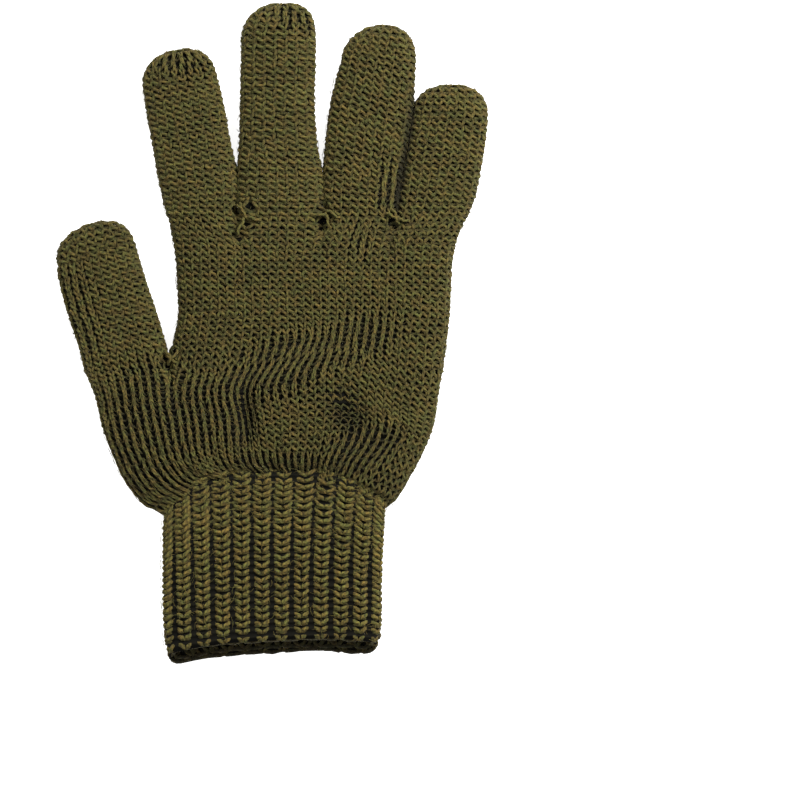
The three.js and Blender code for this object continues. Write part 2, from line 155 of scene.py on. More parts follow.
# Each row of a tube is a section: its left and its right edge, how far its middle is arched ahead of them,
# how far its strips are rounded one by one, the gathers' depth, the underside's reach back, and its height.
SECTION_COLUMNS = ("lx", "ly", "rx", "ry", "arch", "split", "gather", "under", "h")
UPPER_HAND = {
    "wales": 34,  # across one face
    "courses": 22,
    "reach": 20.0,  # how far in from its edge the upper face is rounded
    "swell": 0.3,  # how far the fabric's sides bulge past the solid's
    "bounds": (0.0, 0.2327, 0.5247, 0.7646, 1.0),  # the strips that run on into the fingers
    "columns": SECTION_COLUMNS,
    "rows": (
        (-38.6, -12.5, 64.0, -8.5, 0.0, 0.0, 0, 0, 15.05),
        (-36.9, -2.3, 65.0, -1.2, 0.6, 0.0, 0, 0, 14.7),
        (-35.3, 7.4, 66.0, 7.4, 1.0, 0.0, 0, 0, 14.3),
        (-35.5, 16.7, 66.5, 16.7, 0.8, 0.0, 0, 0, 14.0),
        (-36.1, 25.9, 66.9, 25.9, 0.4, 0.1, 0, 0, 13.7),
        (-37.2, 35.2, 68.6, 35.2, 0.1, 0.45, 0, 0, 13.1),
        (-39.0, 43.7, 72.3, 43.7, 0.0, 0.7, 0, 0, 12.2),
    ),
    # wales of each finger's upper face, and how many the hand drops at the finger's left and right side
    "joined": ((10, 0, 1), (10, 1, 1), (10, 1, 1), (10, 1, 0)),
    "join_reach": 1.6,  # rows over which the wales swing across to meet them
}
LOWER_HAND = {
    "wales": 43,
    "courses": 20,
    "reach": 20.0,
    "swell": 0.3,
    "span": (-0.85, 6.0),  # from before the first row, so that it covers the cuff's end
    "bounds": (0.0, 0.2375, 1.0),
    "columns": SECTION_COLUMNS,
    "rows": (
        (-41.5, -67.2, 42.8, -64.8, 16.2, 0.0, 1.5, 0, 14.0),
        (-48.4, -63.2, 46.8, -61.2, 14.2, 0.0, 1.3, 0, 15.0),
        (-54.8, -55.0, 51.5, -53.0, 9.8, 0.0, 0.7, 0, 16.0),
        (-59.4, -44.8, 56.2, -43.5, 5.6, 0.0, 0.2, 0, 16.4),
        (-63.1, -34.4, 60.0, -33.0, 3.4, 0.0, 0.0, 0, 16.2),
        (-66.0, -22.6, 61.9, -20.2, 1.4, 0.3, 0.0, 0, 15.6),
        (-69.4, -13.7, 64.0, -8.5, 0.0, 0.85, 0.0, 0, 15.05),
    ),
    "joined": ((11, 0, 1), (34, 1, 0)),
    "join_reach": 1.4,
}
# Dents of the upper face: centre, direction in degrees, half length, half width, depth, then how far the
# stitches lie in shade and how far they are drawn thin. The last is the crease between two fingers.
DENTS = (
    (-8.3, -30.5, 88.0, 13.0, 3.6, 4.6, 0.4, 0.7),
    (27.3, -30.6, -25.0, 7.5, 6.0, 3.0, 0.4, 0.95),
    (43.0, -42.0, 55.0, 10.0, 3.4, 1.8, 0.1, 0.2),
    (-54.0, -12.0, 9.0, 20.0, 4.0, 1.1, 0.0, 0.0),
    (49.1, 67.0, 81.0, 24.0, 1.3, 2.6, 2.2, 0.0),
)
# Places where the fabric is stretched and its wales apart: centre, half width, half height, turn, share.
STRETCHED = (
    (-38.0, -29.0, 22.0, 15.0, -8.0, 1.0),
    (-13.0, -27.0, 8.0, 14.0, 0.0, 0.9),
    (-52.0, -40.0, 9.0, 10.0, 0.0, 1.0),
    (-46.0, -52.0, 7.0, 8.0, -30.0, 1.0),
    (-34.0, -54.0, 10.0, 6.0, -25.0, 0.9),
    (-71.5, 6.0, 7.0, 18.0, 12.0, 0.6),
    (6.0, -11.0, 17.0, 9.0, 22.0, 1.0),
    (31.0, -2.0, 14.0, 7.5, 18.0, 0.9),
    (33.0, -43.0, 14.0, 7.0, 26.0, 1.0),
    (4.0, -47.5, 22.0, 3.6, 0.0, 0.9),
    (-34.5, 100.0, 8.0, 3.2, 0.0, 1.0),
    (7.0, 117.0, 6.0, 3.0, -20.0, 0.7),
    (43.5, 54.0, 3.4, 9.0, 0.0, 0.9),
    (33.0, 34.0, 4.0, 6.0, 0.0, 0.5),
)
# Pulls within the upper face: centre, half width, half height and turn, then how steeply the courses slope
# there and the wales lean.
PULLS = (
    (40.0, -18.0, 26.0, 17.0, 0.0, -0.5, 0.0),
    (2.0, -13.0, 18.0, 12.0, 20.0, 0.0, 0.45),
    (34.0, -43.0, 15.0, 10.0, 20.0, 0.0, 0.3),
)
# Holes beside the forks, where the darned yarn pulls the stitches apart: centre and half size.
HOLES = (
    (-12.9, 46.4, 1.5),
    (-8.9, 46.7, 1.9),
    (-7.7, 40.8, 1.5),
    (-12.2, 36.0, 1.3),
    (16.4, 45.9, 1.4),
    (18.5, 47.8, 1.6),
    (18.5, 41.2, 1.8),
    (44.9, 41.4, 1.8),
    (50.3, 41.7, 1.3),
    (-39.5, -10.5, 1.5),
    (-35.6, -6.5, 1.4),
)
HOLE_PUSH = 1.8
UPPER_FACE_ABOVE = 5.5  # yarn higher than this belongs to the upper face
PUCKERS = 24  # of the hand's first courses, one over every rib of the cuff
PUCKER_DEPTH = 1.3
PUCKER_REACH = 3.2  # courses over which they die out
PUCKER_HALF_WIDTH = 40.0
TILT_FADE = 8.0  # courses over which slanting courses come level again towards a tube's ends

FINE_STEPS = 400  # in which the surfaces are worked out
ACROSS_STEPS = 241
ROWS_PER_COURSE = 3
LAST_RUN = 0.5  # courses that the yarn may run past a tube's end and start
FIRST_RUN = 1.0
HAND_STEPS = 9  # round one stitch
TINY = 1e-9

BACK_DEPTHS = (1.75, 2.3)  # the two sides of the fabric's back, from its face

FIBRE_RADIUS = 0.06
FIBRE_STEPS = 3
FIBRE_LENGTHS = (1.5, 4.5)
FIBRE_BEND = 1.0
FIBRE_LIFTS = (0.85, 1.15)  # from the middle of the fabric's thickness
FIBRE_END_LIFT = 0.6  # the most that its end stands off further
FIBRE_STARTS = (0.2, -0.8)  # where a fibre's middle may lie, in courses past a tube's start and its end
FIBRE_LIMITS = (0.1, -0.2)  # and all of it
FIBRES_PER_STITCH = 0.6


def read_rows(tube, place):
    """Every column of a tube's table at places counted in rows, on a cubic through the rows."""
    last = len(tube["rows"]) - 1
    k = np.clip(np.floor(place), 0, last - 1).astype(int)
    t = place - k
    row = {}
    for column, values in zip(tube["columns"], np.array(tube["rows"], float).T):
        a, b, c, d = (values[np.clip(k + step, 0, last)] for step in (-1, 0, 1, 2))
        inner = np.where(k > 0, (c - a) / 2, c - b)
        outer = np.where(k < last - 1, (d - b) / 2, c - b)
        bend = 2 * (b - c) + inner + outer
        row[column] = (b + t * (inner + t * (3 * (c - b) - 2 * inner - outer + t * bend)))[:, None]
    return row


def unit(vectors):
    """The same vectors, drawn out or in to a length of 1."""
    return vectors / (np.linalg.norm(vectors, axis=-1, keepdims=True) + TINY)


def blend(one, other, share):
    """The value that lies a share of the way from one value to another."""
    return one + (other - one) * share


def rounding(distance, reach):
    """How far a rounded side has risen at a distance inside its edge: a superellipse's quarter."""
    left = 1 - np.clip(distance / reach, 0, 1)
    return (1 - left**ROUND_POWER) ** (1 / ROUND_POWER)


def blob(x, y, centre_x, centre_y, turn, long, wide):
    """A bell over an ellipse turned by an angle: e to the minus squared distance in half sizes."""
    a = np.radians(turn)
    along = (x - centre_x) * np.cos(a) + (y - centre_y) * np.sin(a)
    off = (y - centre_y) * np.cos(a) - (x - centre_x) * np.sin(a)
    return np.exp(-((along / long) ** 2) - (off / wide) ** 2)


def dented(sunk, x, y):
    """How far the upper face is sunk at a place: each dent adds its depth times its bell."""
    for dent_x, dent_y, turn, long, wide, depth, _, _ in DENTS:
        sunk = sunk + depth * blob(x, y, dent_x, dent_y, turn, long, wide)
    return sunk


def section_points(tube, row, share, upper, inset):
    """Points of sections at shares across the width, on the upper or lower face, inset from the face. They
    lie between the edges, ahead by the arch times 1 minus a power of the distance from the middle. Each side
    rises as rounding() says, also beside a split, and gathers sink it by half of 1 + cos of the share."""
    half_x = (row["rx"] - row["lx"]) / 2
    half_y = (row["ry"] - row["ly"]) / 2
    half = np.hypot(half_x, half_y)
    keep = np.maximum(1 - inset / half, LEAST_SHARE) * (2 * share - 1)
    wide = keep * (1 + tube["swell"] / half)
    x = (row["lx"] + row["rx"]) / 2 + half_x * wide
    y = (row["ly"] + row["ry"]) / 2 + half_y * wide + row["arch"] * (1 - np.abs(keep) ** ARCH_POWER)
    face_share = np.clip((1 + keep) / 2, 0, 1)
    bounds = np.array(tube["bounds"])
    k = np.clip(np.searchsorted(bounds, face_share), 1, len(bounds) - 1)
    beside_split = np.minimum(face_share - bounds[k - 1], bounds[k] - face_share) * 2 * half
    strip_half = (bounds[k] - bounds[k - 1]) * half
    side = np.minimum(face_share, 1 - face_share) * 2 * half
    parted = np.clip(row["split"], 0, 1)
    edge = row["h"] * EDGE_LEVEL

    def away(full, reach):
        whole = rounding(side, np.minimum(reach, half))
        own = rounding(beside_split, np.minimum(reach, strip_half))
        outer = full * blend(whole, own, parted)
        inner = (full - inset) * rounding(side - inset, np.minimum(reach, half) - inset)
        return np.where(inset > 0, np.minimum(inner, np.maximum(outer - inset, LEAST_SHARE * inner)), outer)

    drop = away(edge, UNDER_REACH)
    full = row["h"] - edge
    lift = away(full, tube["reach"])
    sunk = dented(row["gather"] * (0.5 + 0.5 * np.cos(2 * np.pi * GATHERS * share)), x, y)
    z = np.where(upper, edge + lift - sunk * np.minimum(1, lift / full), edge - drop)
    y = y - np.where(upper, 0, row["under"] * drop / edge)
    return np.stack(np.broadcast_arrays(x, y, z), axis=-1)


def run_along(tube, places, inset, section, rows):
    """Length run along the upper face's middle, at places counted in rows: the sum of its steps."""
    line = section(tube, rows(tube, places), np.full((1, 1), 0.5), True, inset)[:, 0]
    return np.concatenate([[0], np.cumsum(np.linalg.norm(np.diff(line, axis=0), axis=1))])


def arc_lengths(points):
    """For each section, the length across up to each of its points, as a fraction of the whole."""
    steps = np.linalg.norm(np.diff(points, axis=1), axis=2)
    length = np.concatenate([np.zeros((len(points), 1)), np.cumsum(steps, axis=1)], axis=1)
    return length / length[:, -1:]


def joined_fractions(tube, shares, length):
    """Where the wales meet those of the tubes joined on: each strip's wales are spread evenly over its arc,
    and the ones that the hand drops are taken up by the last stitch at each side."""
    placed = []
    wale = 0
    for (count, drop_left, drop_right), *strip in zip(tube["joined"], tube["bounds"], tube["bounds"][1:]):
        kept = count - drop_left - drop_right
        own = np.array([0, 1 + drop_left, count - 1 - drop_right, count])
        start, end = np.interp(strip, shares, length)
        placed += list(zip(wale + np.array([0, 1, kept - 1, kept]), start + (end - start) * own / count))
        wale += kept
    return np.array(placed).T


def tube_surface(tube, inset, samples=6, section=section_points, rows=read_rows, overrun=LAST_RUN):
    """A tube's surface as a grid of points, normals and wale widths. Its rows lie evenly along the middle of
    the upper face, and its columns evenly along each section's arc, from the left edge over the upper face
    and back below. Near the end they swing to the wales joined on, by near squared times 3 - 2 near."""
    wales = tube["wales"]
    courses = tube["courses"]
    last = len(tube["rows"]) - 1
    fine = np.linspace(*tube.get("span", (0, last)), FINE_STEPS)
    run = run_along(tube, fine, inset, section, rows)
    places = np.interp(np.linspace(0, run[-1], ROWS_PER_COURSE * courses + 1), run, fine)
    row = rows(tube, places)
    shares = (1 - np.cos(np.linspace(0, np.pi, ACROSS_STEPS))) / 2
    columns = np.arange(wales * samples + 1) / samples
    even = np.tile(columns / wales, (len(places), 1))
    faces = []
    for upper in (True, False):
        length = arc_lengths(section(tube, row, shares[None, :], upper, inset))
        wanted = even
        if "joined" in tube:
            joins_wale, joins_arc = joined_fractions(tube, shares, length[-1])
            share_at_join = np.interp(np.interp(columns, joins_wale, joins_arc), length[-1], shares)
            met = np.array([np.interp(share_at_join, shares, line) for line in length])
            near = np.clip((places - (last - tube["join_reach"])) / tube["join_reach"], 0, 1)[:, None]
            wanted = even + near * near * (3 - 2 * near) * (met - even)
        across = np.array([np.interp(fraction, line, shares) for fraction, line in zip(wanted, length)])
        faces.append(section(tube, row, across, upper, inset))
    points = np.concatenate([faces[0], faces[1][:, -2:0:-1]], axis=1)
    across = np.roll(points, -1, axis=1) - np.roll(points, 1, axis=1)
    onward = np.gradient(points, axis=0)
    normals = unit(np.cross(across, onward))
    width = np.linalg.norm(across, axis=2, keepdims=True) * samples / 2
    grid = np.concatenate([points, normals, width], axis=2)
    return {"grid": grid, "wales": wales, "courses": courses, "last_course": courses + overrun}


def at(surface, q, c):
    """Point, outward normal and wale width of a surface at q turns round it and c courses along it, on
    straight lines between the grid's points."""
    grid = surface["grid"]
    column = q * grid.shape[1]
    row = np.clip(c, -FIRST_RUN, surface["last_course"]) / surface["courses"] * (grid.shape[0] - 1)
    i = np.floor(column).astype(int)
    j = np.clip(np.floor(row).astype(int), 0, grid.shape[0] - 2)
    s = (column - i)[..., None]
    t = (row - j)[..., None]
    i0 = i % grid.shape[1]
    i1 = (i + 1) % grid.shape[1]
    near = grid[j, i0] * (1 - s) + grid[j, i1] * s
    far = grid[j + 1, i0] * (1 - s) + grid[j + 1, i1] * s
    found = near * (1 - t) + far * t
    return found[..., :3], unit(found[..., 3:6]), found[..., 6]


def loop_quads(rows, columns):
    """Quads between the neighbours of a grid that closes on itself both ways."""
    i = np.arange(rows)[:, None]
    k = np.arange(columns)[None, :]
    i_next = (i + 1) % rows
    k_next = (k + 1) % columns
    corners = [i * columns + k, i * columns + k_next, i_next * columns + k_next, i_next * columns + k]
    return np.stack(corners, axis=-1).reshape(-1, 4)


def loop_uvs(along, around):
    """The same quads' UVs, from a value for each border between rows and for each between columns."""
    i, k = (grid.ravel() for grid in np.meshgrid(along[:-1], around[:-1], indexing="ij"))
    i_next, k_next = (grid.ravel() for grid in np.meshgrid(along[1:], around[1:], indexing="ij"))
    return np.stack([i, k, i, k_next, i_next, k_next, i_next, k], axis=-1).reshape(-1, 2)


def yarn_ring(path, normal, radius, height, bright):
    """A closed yarn round a path: circles square to it, joined by quads. Its UVs run along and around. The
    shade falls from bright with the path's height, from 1 to 0, and towards each circle's inner side."""
    onward = unit(np.roll(path, -1, axis=0) - np.roll(path, 1, axis=0))
    side = unit(np.cross(onward, normal))
    up = np.cross(side, onward)
    angle = 2 * np.pi * np.arange(YARN_SIDES) / YARN_SIDES
    circle = np.cos(angle)[None, :, None] * up[:, None] + np.sin(angle)[None, :, None] * side[:, None]
    points = path[:, None] + radius[:, None, None] * circle
    steps = np.linalg.norm(np.roll(path, -1, axis=0) - path, axis=1)
    uv = loop_uvs(np.concatenate([[0], np.cumsum(steps)]), np.arange(YARN_SIDES + 1) / YARN_SIDES)
    outer = 0.5 + 0.5 * np.cos(angle)
    shade = blend(SHADE_DEEP, 1, height[:, None]) * blend(SHADE_UNDER, 1, outer[None, :]) * bright[:, None]
    return points.reshape(-1, 3), loop_quads(len(path), YARN_SIDES), uv, shade.ravel()


def build_piece(name, parts, material, node):
    """One object from parts that each hold points, quads, UVs and shades. It rides on the part's only body
    and stands for a node."""
    first_points = np.cumsum([0] + [len(part[0]) for part in parts[:-1]])
    points, quads, uv, shade = (np.concatenate(arrays) for arrays in zip(*parts))
    points = points * MM
    quads = quads + np.repeat(first_points, [len(part[1]) for part in parts])[:, None]
    mesh = bpy.data.meshes.new(name)
    mesh.vertices.add(len(points))
    mesh.vertices.foreach_set("co", points.astype(np.float32).ravel())
    mesh.loops.add(quads.size)
    mesh.loops.foreach_set("vertex_index", quads.astype(np.int32).ravel())
    mesh.polygons.add(len(quads))
    mesh.polygons.foreach_set("loop_start", np.arange(0, quads.size, 4, dtype=np.int32))
    mesh.uv_layers.new(name="yarn").data.foreach_set("uv", uv.astype(np.float32).ravel())
    mesh.attributes.new("shade", "FLOAT", "POINT").data.foreach_set("value", shade.astype(np.float32))
    mesh.update(calc_edges=True)
    mesh.validate()
    mesh.polygons.foreach_set("use_smooth", np.ones(len(mesh.polygons), bool))
    mesh.materials.append(material)
    piece = bpy.data.objects.new(name, mesh)
    scene.collection.objects.link(piece)
    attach(piece, "root")
    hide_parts(node)


def stretch_at(x, y):
    """How far the fabric is stretched at a place, from 0 to 1: the strongest bell, cut level at its top."""
    most = np.zeros_like(x)
    for centre_x, centre_y, wide, high, turn, share in STRETCHED:
        most = np.maximum(most, share * np.minimum(1, 2 * blob(x, y, centre_x, centre_y, turn, wide, high)))
    return most


def pulled(place, facing_up):
    """Places moved within the upper face, by each pull's slope and lean times a bell and the distance from
    the pull's middle."""
    moved = place.copy()
    x, y = place[:, 0], place[:, 1]
    for pull_x, pull_y, wide, high, turn, slope, lean in PULLS:
        bell = blob(x, y, pull_x, pull_y, turn, wide, high) * np.clip(2 * facing_up, 0, 1)
        moved[:, 0] += lean * (y - pull_y) * bell
        moved[:, 1] += slope * (x - pull_x) * bell
    return moved


def pushed_apart(path):
    """The path with its upper face's yarn pushed out of each hole, by its distance from the hole's middle
    times a bell, and how far each of its places lay inside a hole."""
    path = path.copy()
    inside = np.zeros(len(path))
    for hole_x, hole_y, half in HOLES:
        bell = blob(path[:, 0], path[:, 1], hole_x, hole_y, 0.0, half, half)
        bell = bell * (path[:, 2] > UPPER_FACE_ABOVE)
        path[:, 0] += HOLE_PUSH * bell * (path[:, 0] - hole_x)
        path[:, 1] += HOLE_PUSH * bell * (path[:, 1] - hole_y)
        inside = np.maximum(inside, bell)
    return path, inside


def dent_at(x, y):
    """How far a place lies in a dent's shade, and how far it is drawn thin: the strongest bell of each."""
    shaded = np.zeros_like(x)
    thinned = np.zeros_like(x)
    for dent_x, dent_y, turn, long, wide, _, shade, thin in DENTS:
        bell = blob(x, y, dent_x, dent_y, turn, long, wide)
        shaded = np.maximum(shaded, shade * bell)
        thinned = np.maximum(thinned, thin * bell)
    return np.minimum(shaded, DARKEST), thinned


def plain_knit(surface, steps, seed, stitches=None, puckers=0, tilt=0.0):
    """Courses of plain knitting. Round a stitch, t from 0 to 2 pi, the yarn runs across by t plus swing
    sin 2t, pinch sin t and lean times 1 - cos t, up and down by reach cos t, and in and out by rise cos 2t.
    The left leg swings and stands out more by unequal sin t. Stretched fabric has less swing, more pinch and
    thinner yarn. Pulls move the stitches, holes push them apart, and dents shade them and draw them thin.
    Puckers sink them by half of 1 + cos of the way round, less and less from the first course. Tilt lifts
    the courses at the left edge and lowers them at the right by cos of the way round, away from the ends."""
    rng = np.random.default_rng(seed)
    rings = []
    for course in range(surface["courses"]):
        count = 2 * (surface["wales"] if stitches is None else stitches[course])
        t = np.tile(2 * np.pi * np.arange(steps) / steps, count)
        stitch = np.repeat(np.arange(count), steps)
        middle, facing, wide = at(surface, (np.arange(count) + 0.5) / count, np.full(count, course + 0.5))
        middle = pulled(middle, facing[:, 2])
        wide = wide * 2 * surface["wales"] / count / STITCH_WIDTH
        stretch = (stretch_at(middle[:, 0], middle[:, 1]) * np.clip(TOO_WIDE - wide, 0, 1))[stitch]

        pinch = PINCH_STRETCHED * stretch + rng.normal(0, UNEVEN["pinch"], count)[stitch]
        lean = rng.normal(0, UNEVEN["lean"], count)[stitch]
        reach = blend(REACH, REACH_STRETCHED, stretch) * (1 + rng.normal(0, UNEVEN["reach"], count)[stitch])
        reach = reach * (1 - THIN_SHORT * dent_at(middle[:, 0], middle[:, 1])[1][stitch])
        rise = LEG_RISE * (1 + RISE_STRETCHED * stretch) * (1 + rng.normal(0, UNEVEN["rise"], count)[stitch])
        unequal = SWING_UNEQUAL * (1 - stretch) * np.sin(t)
        swing = blend(SWING, SWING_STRETCHED, stretch) * np.sin(2 * t) * (1 + unequal)
        across = stitch + t / (2 * np.pi) + swing + pinch * np.sin(t) + lean * (1 - np.cos(t))
        wander = WANDER * np.sin(0.9 * course + 1.7 * np.sin(0.31 * stitch + seed))
        up = course + 0.5 + wander - reach * np.cos(t)
        level = np.clip(np.minimum(course, surface["courses"] - 1 - course) / TILT_FADE, 0, 1)
        up += tilt * level * np.cos(2 * np.pi * across / count)

        place, normal, width = at(surface, across / count, up)
        place = pulled(place, normal[:, 2])
        pucker = 0.5 + 0.5 * np.cos(2 * np.pi * puckers * across / count)
        pucker = pucker * np.exp(-((up / PUCKER_REACH) ** 2)) * (puckers > 0)
        pucker = pucker * np.clip(1 - np.abs(place[:, 0] / PUCKER_HALF_WIDTH) ** 3, 0, 1)
        flat = blend(SIDE_FLAT, 1, np.maximum(normal[:, 2], 0))
        sunk = flat * rise * (1 + RISE_UNEQUAL * unequal) * np.cos(2 * t) + PUCKER_DEPTH * pucker
        strayed = rng.normal(0, UNEVEN["path"], place.shape)
        path, hole = pushed_apart(place - normal * sunk[:, None] + strayed)
        shaded, thinned = dent_at(path[:, 0], path[:, 1])

        narrow = np.clip(width * 2 * surface["wales"] / count / STITCH_WIDTH, *NARROW_LIMITS)
        radius = YARN_RADIUS * (1 - YARN_STRETCHED * stretch) * (1 - THIN_YARN * thinned)
        radius = radius * narrow**NARROW_POWER * (1 + rng.normal(0, UNEVEN["radius"], len(t)))
        height = (0.5 - 0.5 * np.cos(2 * t)) ** (1 + DEEP_STRETCHED * stretch) * (1 + RISE_UNEQUAL * unequal)
        height = height * (1 - PUCKER_SHADE * pucker) * (1 - HOLE_SHADE * hole)
        height = blend(LEAST_HEIGHT * (1 - stretch), 1, height)
        height = height * rng.uniform(*TONES, count)[stitch] * (1 + STRETCHED_LIGHT * stretch)
        rings.append(yarn_ring(path, normal, radius, height, 1 - shaded))
    return rings


def inner_face(tube, **options):
    """The fabric's back as a thin closed wall: an outer and an inner grid, joined by a rim at each end. Its
    UVs are wales and rows."""
    sides = [tube_surface(tube, depth, samples=2, **options)["grid"] for depth in BACK_DEPTHS]
    outer, inner = (grid[::ROWS_PER_COURSE, :, :3] for grid in sides)
    loop = np.concatenate([outer, inner[::-1]], axis=0)
    rows, columns = loop.shape[:2]
    uv = loop_uvs(np.arange(rows + 1), np.arange(columns + 1) / 2)[:, ::-1]
    return loop.reshape(-1, 3), loop_quads(rows, columns), uv, np.ones(rows * columns)


def loose_fibres(surface, count, seed):
    """Short fibres that stand off the yarn: each a thin square rod, bent along the fabric by the square of
    its run and lifted at one end, with a closed end at both sides."""
    rng = np.random.default_rng(seed)
    run = np.linspace(-0.5, 0.5, FIBRE_STEPS + 1)[None, :]
    length = rng.uniform(*FIBRE_LENGTHS, (count, 1))
    heading = rng.uniform(0, 2 * np.pi, (count, 1))
    bend = rng.normal(0, FIBRE_BEND, (count, 1)) * run**2
    across = length * (run * np.cos(heading) - bend * np.sin(heading))
    onward = length * (run * np.sin(heading) + bend * np.cos(heading))
    q = rng.uniform(0, 1, (count, 1)) + across / (2 * surface["wales"] * STITCH_WIDTH)
    first, last = FIBRE_STARTS
    c = rng.uniform(first, surface["courses"] + last, (count, 1)) + onward / STITCH_HEIGHT
    lowest, highest = FIBRE_LIMITS
    place, normal, _ = at(surface, q, np.clip(c, lowest, surface["courses"] + highest))
    lift = rng.uniform(*FIBRE_LIFTS, (count, 1))
    lift = lift + rng.uniform(0, FIBRE_END_LIFT, (count, 1)) * (run + 0.5) ** 2
    path = place + normal * lift[..., None]
    path[..., 2] = np.maximum(path[..., 2], FIBRE_RADIUS)
    ahead = unit(np.gradient(path, axis=1))
    side = unit(np.cross(ahead, normal))
    up = np.cross(side, ahead)
    corners = np.stack([up, side, -up, -side], axis=2) * FIBRE_RADIUS
    points = path[:, :, None] + corners
    base = 4 * (FIBRE_STEPS + 1) * np.arange(count)[:, None, None]
    i = 4 * np.arange(FIBRE_STEPS)[None, :, None]
    k = np.arange(4)[None, None, :]
    k_next = (k + 1) % 4
    walls = np.stack([base + i + k, base + i + k_next, base + i + 4 + k_next, base + i + 4 + k], axis=-1)
    near_end = base[:, 0] + np.array([[0, 3, 2, 1]])
    far_end = base[:, 0] + 4 * FIBRE_STEPS + np.array([[0, 1, 2, 3]])
    quads = np.concatenate([walls.reshape(-1, 4), near_end, far_end])
    return points.reshape(-1, 3), quads, np.zeros((quads.size, 2)), np.ones(points.size // 3)


def maths(tree, operation, *values):
    """A maths node's result. Each value is a number, or the output that it comes from."""
    node = tree.nodes.new("ShaderNodeMath")
    node.operation = operation
    for socket, value in zip(node.inputs, values):
        if isinstance(value, bpy.types.NodeSocket):
            tree.links.new(value, socket)
        else:
            socket.default_value = value
    return node.outputs["Value"]


def noise(tree, place, scale):
    """Soft noise at a place of the object, with a scale in waves to the metre."""
    node = tree.nodes.new("ShaderNodeTexNoise")
    node.inputs["Scale"].default_value = scale
    node.inputs["Detail"].default_value = 3.0
    tree.links.new(place, node.inputs["Vector"])
    return node.outputs["Fac"]


def ramp(tree, value, *stops):
    """A colour that runs from one stop to the other with a value. A stop is a position and a colour."""
    node = tree.nodes.new("ShaderNodeValToRGB")
    for element, (position, colour) in zip(node.color_ramp.elements, stops):
        element.position = position
        element.color = (*colour, 1.0)
    tree.links.new(value, node.inputs["Fac"])
    return node.outputs["Color"]


def product(tree, one, other):
    """Two colours multiplied."""
    node = tree.nodes.new("ShaderNodeMix")
    node.data_type = "RGBA"
    node.blend_type = "MULTIPLY"
    node.inputs["Factor"].default_value = 1.0
    tree.links.new(one, node.inputs["A"])
    tree.links.new(other, node.inputs["B"])
    return node.outputs["Result"]


def relief(tree, height, distance, shader):
    """Fine relief as bump, up to a distance in metres."""
    node = tree.nodes.new("ShaderNodeBump")
    node.inputs["Strength"].default_value = 1.0
    node.inputs["Distance"].default_value = distance
    tree.links.new(height, node.inputs["Height"])
    tree.links.new(node.outputs["Normal"], shader.inputs["Normal"])


def matt_material(name, roughness, specular):
    """A new material, its nodes, its shader and the pieces' UVs."""
    material = bpy.data.materials.new(name)
    material.use_nodes = True
    tree = material.node_tree
    shader = tree.nodes["Principled BSDF"]
    shader.inputs["Roughness"].default_value = roughness
    shader.inputs["Specular IOR Level"].default_value = specular
    uv = tree.nodes.new("ShaderNodeUVMap")
    uv.uv_map = "yarn"
    return material, tree, shader, uv.outputs["UV"]


def wool(name, light, dark):
    """Matt two-ply wool: slanting plies as bump, and fibres that vary in tone along and between them. The
    tone rises with the bump, which paints shade into the grooves, and the colour is darkened by the pieces'
    painted shade, the attribute shade.
    """
    material, tree, shader, uv = matt_material(name, 0.92, 0.25)
    shader.inputs["Sheen Weight"].default_value = 0.08
    shader.inputs["Sheen Roughness"].default_value = 0.6
    shader.inputs["Sheen Tint"].default_value = (0.60, 0.52, 0.22, 1.0)

    slant = tree.nodes.new("ShaderNodeMapping")
    slant.inputs["Scale"].default_value = (TWISTS_PER_MM, PLIES, 1.0)
    tree.links.new(uv, slant.inputs["Vector"])
    split = tree.nodes.new("ShaderNodeSeparateXYZ")
    tree.links.new(slant.outputs["Vector"], split.inputs["Vector"])
    twist = maths(tree, "ADD", split.outputs["X"], split.outputs["Y"])
    ply = maths(tree, "PINGPONG", twist, 0.5)
    place = tree.nodes.new("ShaderNodeTexCoord").outputs["Object"]
    fibre = noise(tree, place, FIBRE_SCALE)
    patch = noise(tree, place, PATCH_SCALE)

    tone = maths(tree, "MULTIPLY_ADD", fibre, FIBRE_TONE, maths(tree, "MULTIPLY", ply, PLY_TONE))
    colours = ramp(tree, tone, (0.40, dark), (0.95, light))
    hues = ramp(tree, patch, (0.35, REDDER), (0.65, GREENER))
    # painted shade: the yarn's shade attribute darkens the colour
    shade = tree.nodes.new("ShaderNodeAttribute")
    shade.attribute_name = "shade"
    shaded = product(tree, product(tree, colours, hues), shade.outputs["Fac"])
    tree.links.new(shaded, shader.inputs["Base Color"])
    relief(tree, maths(tree, "MULTIPLY_ADD", fibre, 0.5, ply), PLY_RELIEF, shader)
    return material


def shaded_wool_back(name, light, dark):
    """The fabric's back, seen in the mouth and through the stitches: painted shade, the same wool coloured
    near black for the shade inside the knit, with the knit's rows as bump.
    """
    material, tree, shader, uv = matt_material(name, 1.0, 0.1)
    rows = tree.nodes.new("ShaderNodeTexWave")
    rows.wave_type = "BANDS"
    rows.bands_direction = "Y"
    rows.inputs["Scale"].default_value = BACK_ROWS
    rows.inputs["Distortion"].default_value = 1.5
    tree.links.new(uv, rows.inputs["Vector"])
    colours = ramp(tree, rows.outputs["Fac"], (0.0, dark), (1.0, light))
    tree.links.new(colours, shader.inputs["Base Color"])
    relief(tree, rows.outputs["Fac"], BACK_RELIEF, shader)
    return material


